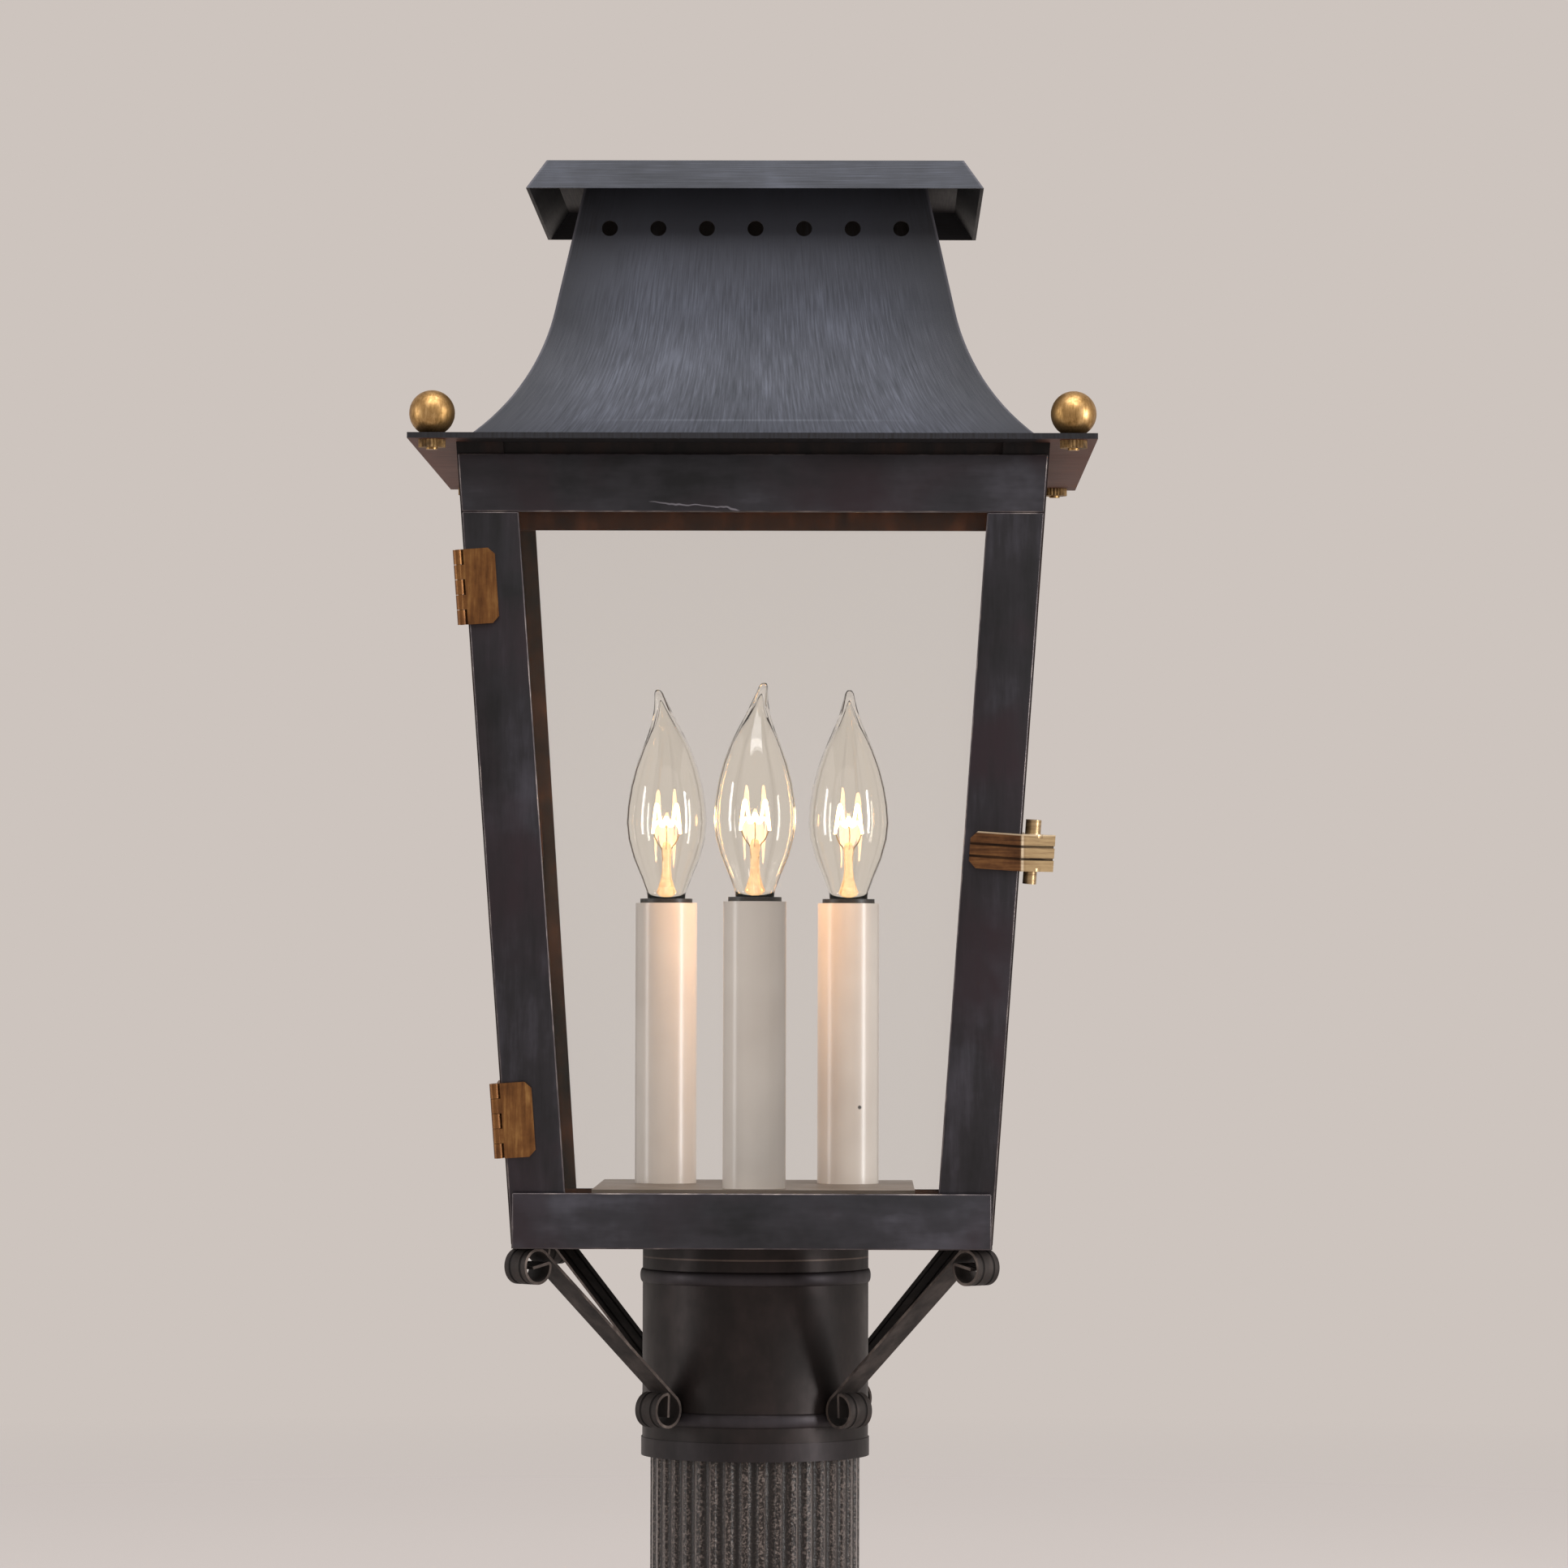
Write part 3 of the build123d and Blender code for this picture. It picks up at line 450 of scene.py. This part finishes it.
for side, angle, lean, turn in (("front", -90, 3.2, 12), ("right", 30, 0.2, -18), ("left", 150, -3.4, 20)):
    body = "bulb_" + side
    bearing = radians(angle)
    centre = Vector((lamp_circle * cos(bearing), lamp_circle * sin(bearing), holder_top)) * mm
    upright = Matrix.Translation(centre)
    turned = upright @ Matrix.Rotation(radians(turn), 4, "Z")
    glass = lathe(envelope + hollow, 72)
    for point in glass.verts:
        drawn_out = max(0.0, (point.co.z / mm - bend_from) / (bulb_height - bend_from))
        point.co.x += lean * mm * drawn_out ** 2
    bmesh.ops.transform(glass, matrix=upright, verts=glass.verts)
    bulb = keep(glass, "flame_bulb_" + side, body, "bulb_glass", blown)
    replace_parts(bulb, "bulb_glass_" + side)
    bulb.visible_shadow = False
    stem = lathe(stem_profile, 32)
    bmesh.ops.transform(stem, matrix=turned, verts=stem.verts)
    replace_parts(keep(stem, "glass_stem_" + side, body, "filament", pressed), "bulb_filament_" + side)
    legs = wires(leg_radius, *leg_runs)
    bmesh.ops.transform(legs, matrix=turned, verts=legs.verts)
    keep(legs, "wire_legs_" + side, body, "filament", nickel)
    coil = wires(coil_radius, *coil_runs)
    bmesh.ops.transform(coil, matrix=turned, verts=coil.verts)
    keep(coil, "lit_coil_" + side, body, "filament", tungsten)
    dress(shell_brass, "bulb_base_" + side)
    glow = bpy.data.lights.new("glow_" + side, "POINT")
    glow.energy = 0.2
    glow.color = linear("#ffc48c")[:3]
    glow.shadow_soft_size = 6 * mm
    held = bpy.data.objects.new("glow_" + side, glow)
    held.location = centre + Vector((0, 0, coil_height * mm))
    held.visible_transmission = False
    held.visible_glossy = False
    bpy.context.collection.objects.link(held)


# Roof: an eaves plate, a flared hood with seven vents on each side, and a cap on four straps inside it.
# All are folded from copper sheet and blackened. The hood is brushed down its slope, which leaves fine
# blue-grey streaks, and the cap is brushed along its edges. What looks down or in is painted dark as shade,
# and the underside of the eaves at the left and the right is brown.
def offsets(tree, spot):
    """How far a point is from the lantern's middle, to the side and to the front or back."""
    axes = add(tree, "SeparateXYZ", {0: spot}).node.outputs
    return [add(tree, "Math", {0: axes[name]}, operation="ABSOLUTE") for name in ("X", "Y")]


def down_the_slope(tree, spot):
    """Coordinates that run across each side of the roof and down its slope."""
    side_half = 75 * mm
    axes = add(tree, "SeparateXYZ", {0: spot}).node.outputs
    far_x, far_y = offsets(tree, spot)
    front = add(tree, "Math", {0: far_y, 1: far_x}, operation="GREATER_THAN")
    reach = add(tree, "Math", {0: far_x, 1: far_y}, operation="MAXIMUM")
    across = add(tree, "Mix", {"Factor": front, "A": axes["Y"], "B": axes["X"]})
    spread = add(tree, "Math", {0: across, 1: reach}, operation="DIVIDE")
    lane = add(tree, "Math", {0: spread, 1: side_half}, operation="MULTIPLY")
    fall = add(tree, "Math", {0: axes["Z"], 1: reach}, operation="SUBTRACT")
    return add(tree, "CombineXYZ", {0: lane, 1: front, 2: fall})


def dark_margin(tree, spot):
    """The sides of each face, coloured darker towards their edges."""
    margin_from, margin_to = 46 * mm, 74 * mm
    lane = add(tree, "SeparateXYZ", {0: down_the_slope(tree, spot)}).node.outputs["X"]
    away = add(tree, "Math", {0: lane}, operation="ABSOLUTE")
    return add(tree, "MapRange", {0: away, 1: margin_from, 2: margin_to, 4: 0.8})


def corner_rub(tree, spot):
    """Rubbed lines along the folded corners of the roof."""
    far_x, far_y = offsets(tree, spot)
    apart = add(tree, "Math", {0: far_x, 1: far_y}, operation="SUBTRACT")
    return near(tree, apart, 0.0, 0.3 * mm, 1.1 * mm)


def hem_line(tree, spot):
    """Faint rubbed line just above the fold at the foot of the hood, in the middle of each side."""
    hem_height, strong_half, faded_half = 464.2 * mm, 15 * mm, 50 * mm
    height = add(tree, "SeparateXYZ", {0: spot}).node.outputs["Z"]
    lane = add(tree, "SeparateXYZ", {0: down_the_slope(tree, spot)}).node.outputs["X"]
    line = near(tree, height, hem_height, 0.1 * mm, 0.5 * mm)
    middle = near(tree, lane, 0.0, strong_half, faded_half)
    faint = add(tree, "Math", {0: middle, 1: 0.25}, operation="MULTIPLY")
    return add(tree, "Math", {0: line, 1: faint}, operation="MULTIPLY")


def sheared_rim(tree, spot):
    """The sheared edge round the eaves plate."""
    rim_from, rim_to = 119.6 * mm, 119.9 * mm
    far_x, far_y = offsets(tree, spot)
    reach = add(tree, "Math", {0: far_x, 1: far_y}, operation="MAXIMUM")
    return add(tree, "MapRange", {0: reach, 1: rim_from, 2: rim_to})


def painted_cap_shadow(tree, spot):
    """The head of the hood round the vents, painted darker as the shadow of the cap."""
    dark_from, dark_to = 506 * mm, 536 * mm
    height = add(tree, "SeparateXYZ", {0: spot}).node.outputs["Z"]
    return add(tree, "MapRange", {0: height, 1: dark_from, 2: dark_to, 4: 0.7})


def facing_down(tree, spot):
    """Faces that look down, which the roof paints dark as shade."""
    level, steep = -0.95, -0.8
    normal = add(tree, "TexCoord", {}).node.outputs["Normal"]
    lean = add(tree, "SeparateXYZ", {0: normal}).node.outputs["Z"]
    return add(tree, "MapRange", {0: lean, 1: level, 2: steep, 3: 1.0, 4: 0.0})


def brown_underside(tree, spot):
    """The underside of the eaves at the left and the right."""
    brown_from, brown_to = 98 * mm, 104 * mm
    far_x = offsets(tree, spot)[0]
    sides = add(tree, "MapRange", {0: far_x, 1: brown_from, 2: brown_to})
    return add(tree, "Math", {0: sides, 1: facing_down(tree, spot)}, operation="MULTIPLY")


def inner_faces(tree, spot):
    """Faces on the inside of the hood and the cap, painted near black as shade."""
    fully_in, just_in = -30 * mm, -8 * mm
    return add(tree, "MapRange", {0: outward(tree, spot), 1: fully_in, 2: just_in, 3: 1.0, 4: 0.0})


# In both lists, the cap's shadow at the head, the downward faces and the inside faces are painted shade.
hood_marks = ((dark_margin, "#1d1d20"), (painted_cap_shadow, "#141318"), (hem_line, "#6d7078"),
              (corner_rub, "#4b494f"), (sheared_rim, "#121013"), (facing_down, "#15100e"),
              (brown_underside, "#5a2d17"), (inner_faces, "#0f0b0a"))
cap_marks = ((corner_rub, "#4b494f"), (facing_down, "#1d120d"), (inner_faces, "#130d0a"))
hood_copper = blackened("slope_brushed_copper", ("#21242b", "#353740", "#484b56"), (0.7, 1, 16), 110, 0.6,
                        0.4, along=down_the_slope, marks=hood_marks)
dress(hood_copper, "roof_hood", "eaves_plate")
cap_copper = blackened("cross_brushed_copper", ("#1b1d23", "#282a32", "#373a45"), (24, 1, 0.6), 50, 0.58,
                       0.4, along=down_the_slope, marks=cap_marks)
dress(cap_copper, "vent_cap")
# The straps inside the head are painted black as shade, so that they read dark through the vents.
strap_shade_black = blackened("shade_black_brass_strap", ("#0a0706", "#120d0b", "#1c1512"), (4, 4, 20), 12, 0.6)
dress(strap_shade_black, "cap_brackets")


# Ball finials: solid brass balls on studs at the four corners of the eaves plate, polished and then left to
# turn a satin gold.
aged_brass = blackened("satin_aged_brass", ("#7c5f37", "#a48152", "#c7a370"), (0.8, 0.8, 5), 6, 0.43, 1.0)
dress(aged_brass, "ball_finials")


# Finial nuts: round knurled brass nuts on the studs below the eaves plate, which draw the balls down.
# They are of a dull brown brass, and their knurl is drawn coarser than a real one.
nut_radius, nut_height, nut_foot, corner_place = 4.75, 2.7, 452.9, 111.8
knurl_root = 0.93
knurl = bmesh.new()
for corner_x in (-corner_place, corner_place):
    for corner_y in (-corner_place, corner_place):
        ring = bmesh.ops.create_circle(knurl, cap_ends=True, segments=48, radius=nut_radius * mm)["verts"]
        for point in ring[1::2]:
            point.co *= knurl_root
        wall = bmesh.ops.extrude_face_region(knurl, geom=[ring[0].link_faces[0]])["geom"]
        top = [v for v in wall if isinstance(v, bmesh.types.BMVert)]
        bmesh.ops.translate(knurl, verts=top, vec=(0, 0, nut_height * mm))
        bmesh.ops.translate(knurl, verts=ring + top, vec=Vector((corner_x, corner_y, nut_foot)) * mm)
bmesh.ops.recalc_face_normals(knurl, faces=knurl.faces)
nut_brass = blackened("dull_knurled_brass", ("#4d3a22", "#7d6038", "#a98853"), (2, 2, 2), 5, 0.6, 0.4)
nuts = keep(knurl, "knurled_nuts", "lantern", "aged_brass", nut_brass)
nuts.data.shade_flat()
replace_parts(nuts, "finial_nuts")


# Door: four flat brass bars soldered into a frame over the front of the lantern, with the glass behind them.
# The coat is purple-black with brown patches, and the eased edges of the bars are rubbed light. The rails
# are coloured lighter and the stiles darker, painted light and shade that offsets the eaves' shadow on the
# top rail and the lamps' stronger light on the stiles.
def door_bar(name, finish, z_low, z_high, ends, back):
    """Flat bar that leans with the front of the lantern, its edges eased; sizes in millimetres."""
    ease = 0.45 * mm
    bar = bmesh.new()
    bmesh.ops.create_cube(bar, size=2)
    for point in bar.verts:
        z = z_high if point.co.z > 0 else z_low
        half = base_half + lean_out * (z - base_height)
        left, right = ends(half)
        x = right if point.co.x > 0 else left
        y = -half - back - (0 if point.co.y > 0 else bar_thickness)
        point.co = Vector((x, y, z)) * mm
    eased = bmesh.ops.bevel(bar, geom=bar.edges[:], offset=ease, segments=2, profile=0.5, affect="EDGES",
                            material=-1)
    for face in eased["faces"]:
        face.material_index = 1
    bmesh.ops.recalc_face_normals(bar, faces=bar.faces)
    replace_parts(keep(bar, "eased_" + name, "door", "dark_bronze", finish, rubbed_edge), name)


def brown_patches(tree, spot):
    """Broad patches where the purple-black coat turned brown."""
    patch = 55 * mm
    cloud = add(tree, "TexNoise", {"Vector": spot, "Scale": 1 / patch, "Detail": 3.0, "Distortion": 0.6})
    return add(tree, "MapRange", {0: cloud, 1: 0.46, 2: 0.62, 4: 0.9})


def rail_scratch(tree, spot):
    """A long scratch low on the top rail, left by handling."""
    left, right, high, low = -35.3 * mm, -3.7 * mm, 434.8 * mm, 431.9 * mm
    middle, strong_half, faded_half, sway = -19.5 * mm, 15 * mm, 17 * mm, 1.2 * mm
    axes = add(tree, "SeparateXYZ", {0: spot}).node.outputs
    wander = add(tree, "TexNoise", {"Vector": spot, "Scale": 1 / (7 * mm), "Detail": 2.0})
    drift = add(tree, "MapRange", {0: wander, 1: 0.2, 2: 0.8, 3: -sway, 4: sway})
    fall = add(tree, "MapRange", {0: axes["X"], 1: left, 2: right, 3: high, 4: low})
    path = add(tree, "Math", {0: fall, 1: drift}, operation="ADD")
    off = add(tree, "Math", {0: axes["Z"], 1: path}, operation="SUBTRACT")
    line = near(tree, off, 0.0, 0.12 * mm, 0.35 * mm)
    span = near(tree, axes["X"], middle, strong_half, faded_half)
    return add(tree, "Math", {0: line, 1: span}, operation="MULTIPLY")


base_half, base_height, lean_out, bar_thickness, bar_width = 84.5, 173, 0.0686483, 1.5, 19.8
door_marks = ((brown_patches, "#2c2126"), (rail_scratch, "#8d8a92"))
# Painted light and shade: the rails' coat is lighter and the stiles' darker than one even coat.
rail_patina_painted_lighter = blackened("purple_brown_patina_painted_lighter", ("#1d1d20", "#323136", "#4e4d55"), (60, 6, 14), 34, 0.4,
                        marks=door_marks)
stile_patina_painted_darker = blackened("purple_patina_painted_darker", ("#171618", "#28262a", "#3f3d44"), (6, 6, 60), 34, 0.4,
                         marks=door_marks[:1])
rubbed_edge = blackened("rubbed_patina_edge", ("#2c2628", "#4b4446", "#7a706c"), (9, 9, 9), 12, 0.35)
top_rail_foot, top_rail_head, bottom_rail_head, bottom_rail_half = 431.1, 451.4, 192.7, 84.1
door_gap, edge_gap = 0.3, 0.5
door_bar("door_top_rail", rail_patina_painted_lighter, top_rail_foot, top_rail_head,
         lambda half: (edge_gap - half, half - edge_gap), door_gap)
door_bar("door_left_stile", stile_patina_painted_darker, base_height, top_rail_foot,
         lambda half: (edge_gap - half, edge_gap - half + bar_width), door_gap)
door_bar("door_right_stile", stile_patina_painted_darker, base_height, top_rail_foot,
         lambda half: (half - edge_gap - bar_width, half - edge_gap), door_gap)
door_bar("door_bottom_rail", rail_patina_painted_lighter, base_height, bottom_rail_head,
         lambda half: (-bottom_rail_half, bottom_rail_half), door_gap + bar_thickness)


# Hinges: two brass butt hinges with clipped leaves, soldered to the left stile and the frame.
# They are browned to a warm antique brass, drawn lengthwise.
antique = blackened("antique_brown_brass", ("#4c2c12", "#734b26", "#99703f"), (1.6, 1.6, 26), 14, 0.4, 0.7)
dress(antique, "hinge_door_leaves", "hinge_frame_leaves", "hinge_pins")


# Latch: a grooved brass plate on the door, bent back into a thumb tab, with a drop pin that stands in a
# keeper on the frame.
# The plate is browned; its tab and the pin are rubbed bright and painted lighter as a highlight, its top
# edge and bend carry a painted highlight, and its grooves are painted dark as shade.
def latch_tab_rub_and_highlight(tree, spot):
    """The thumb tab, past the corner of the lantern, rubbed bright and painted lighter as the highlight it
    catches from the right.
    """
    tab_from, tab_to = 93.5 * mm, 96 * mm
    reach = add(tree, "SeparateXYZ", {0: spot}).node.outputs["X"]
    return add(tree, "MapRange", {0: reach, 1: tab_from, 2: tab_to})


def up_the_plate(tree, spot):
    """Height of a point above the middle of the plate, which leans with the corner of the lantern."""
    corner_way, plate_middle = (0.0683, -0.0683, 0.9953), 323.88 * mm
    up = add(tree, "VectorMath", {0: spot, 1: corner_way}, operation="DOT_PRODUCT").node.outputs["Value"]
    return add(tree, "Math", {0: up, 1: plate_middle}, operation="SUBTRACT")


def latch_groove_shade(tree, spot):
    """The two long grooves of the plate, painted dark as shade."""
    groove_height = 2.17 * mm
    away = add(tree, "Math", {0: up_the_plate(tree, spot)}, operation="ABSOLUTE")
    return near(tree, away, groove_height, 0.3 * mm, 0.6 * mm)


def latch_edge_highlight(tree, spot):
    """Painted highlight along the top edge and the bend of the plate."""
    edge_height, bend_place = 6.4 * mm, 94.6 * mm
    top = near(tree, up_the_plate(tree, spot), edge_height, 0.15 * mm, 0.5 * mm)
    reach = add(tree, "SeparateXYZ", {0: spot}).node.outputs["X"]
    bend = near(tree, reach, bend_place, 0.2 * mm, 0.7 * mm)
    return add(tree, "Math", {0: top, 1: bend}, operation="MAXIMUM")


latch_marks = ((latch_tab_rub_and_highlight, "#b59b74"), (latch_edge_highlight, "#d8c4a6"), (latch_groove_shade, "#1c110a"))
latch_brass = blackened("rubbed_latch_brass", ("#432a19", "#654329", "#865e39"), (14, 14, 1.0), 9, 0.34, 0.8,
                        marks=latch_marks)
dress(latch_brass, "latch_plate", "latch_pin", "latch_keeper")


# Studio: a pale floor that fades into a pale surround, with a large soft lamp overhead and a strip lamp
# on each side. The camera stands level with the lower half of the lantern, a little to the right.
ground = bmesh.new()
bmesh.ops.create_circle(ground, cap_ends=True, segments=96, radius=3.0)
floor_mesh = bpy.data.meshes.new("floor")
ground.to_mesh(floor_mesh)
ground.free()
floor_piece = bpy.data.objects.new("floor", floor_mesh)
bpy.context.collection.objects.link(floor_piece)
pale, tree, inputs, spot = new_finish("pale_floor")
inputs["Base Color"].default_value = linear("#b8afa9")
inputs["Roughness"].default_value = 0.9
away = add(tree, "VectorMath", {0: spot}, operation="LENGTH").node.outputs["Value"]
fade_from, fade_to = 0.4, 1.6
fade = add(tree, "MapRange", {0: away, 1: fade_from, 2: fade_to})
solid = tree.nodes["Principled BSDF"].outputs["BSDF"]
faded = add(tree, "MixShader", {0: fade, 1: solid, 2: add(tree, "BsdfTransparent", {})})
tree.links.new(faded, tree.nodes["Material Output"].inputs["Surface"])
floor_mesh.materials.append(pale)

world = bpy.data.worlds.new("studio")
bpy.context.scene.world = world
world.use_nodes = True
tree = world.node_tree
rays = add(tree, "LightPath", {}).node.outputs
seen = add(tree, "Math", {0: rays["Is Camera Ray"], 1: rays["Is Transmission Ray"]}, operation="MAXIMUM")
seen = add(tree, "Math", {0: seen, 1: rays["Is Glossy Ray"]}, operation="MAXIMUM")
way = add(tree, "TexCoord", {}).node.outputs["Generated"]
height = add(tree, "SeparateXYZ", {0: way}).node.outputs["Z"]
level = add(tree, "MapRange", {0: height, 1: -1.0, 2: 1.0})
sky = add(tree, "ValToRGB", {0: level}, stops=((0.30, "#4a4340"), (0.8, "#e4e6ec"), (0.5, "#a39a95")))
air = add(tree, "Background", {"Color": sky, "Strength": 0.9})
backdrop = add(tree, "Background", {"Color": linear("#cdc4be"), "Strength": 1.0})
mixed = add(tree, "MixShader", {0: seen, 1: air, 2: backdrop})
tree.links.new(mixed, tree.nodes["World Output"].inputs["Surface"])

lamps = (("overhead", (0.1, -0.9, 2.3), 1.8, 1.8, 58), ("left", (-2.2, -0.6, 0.5), 0.3, 1.3, 13),
         ("right", (2.0, -1.1, 0.5), 0.25, 1.3, 31))
lantern_middle = Vector((0, 0, 0.32))
for name, place, width, length, power in lamps:
    lamp = bpy.data.lights.new(name, "AREA")
    lamp.shape = "RECTANGLE"
    lamp.size = width
    lamp.size_y = length
    lamp.energy = power
    held = bpy.data.objects.new(name, lamp)
    held.location = place
    held.rotation_euler = (lantern_middle - Vector(place)).to_track_quat("-Z", "Y").to_euler()
    bpy.context.collection.objects.link(held)

eye = bpy.data.cameras.new("camera")
eye.lens = 147.9
eye.sensor_width = 36
camera = bpy.data.objects.new("camera", eye)
camera.location = (0.0384, -2.3515, 0.2701)
camera.rotation_euler = (radians(91.68), radians(-0.15), radians(0.69))
bpy.context.collection.objects.link(camera)
bpy.context.scene.camera = camera
bpy.context.scene.view_settings.view_transform = "Standard"
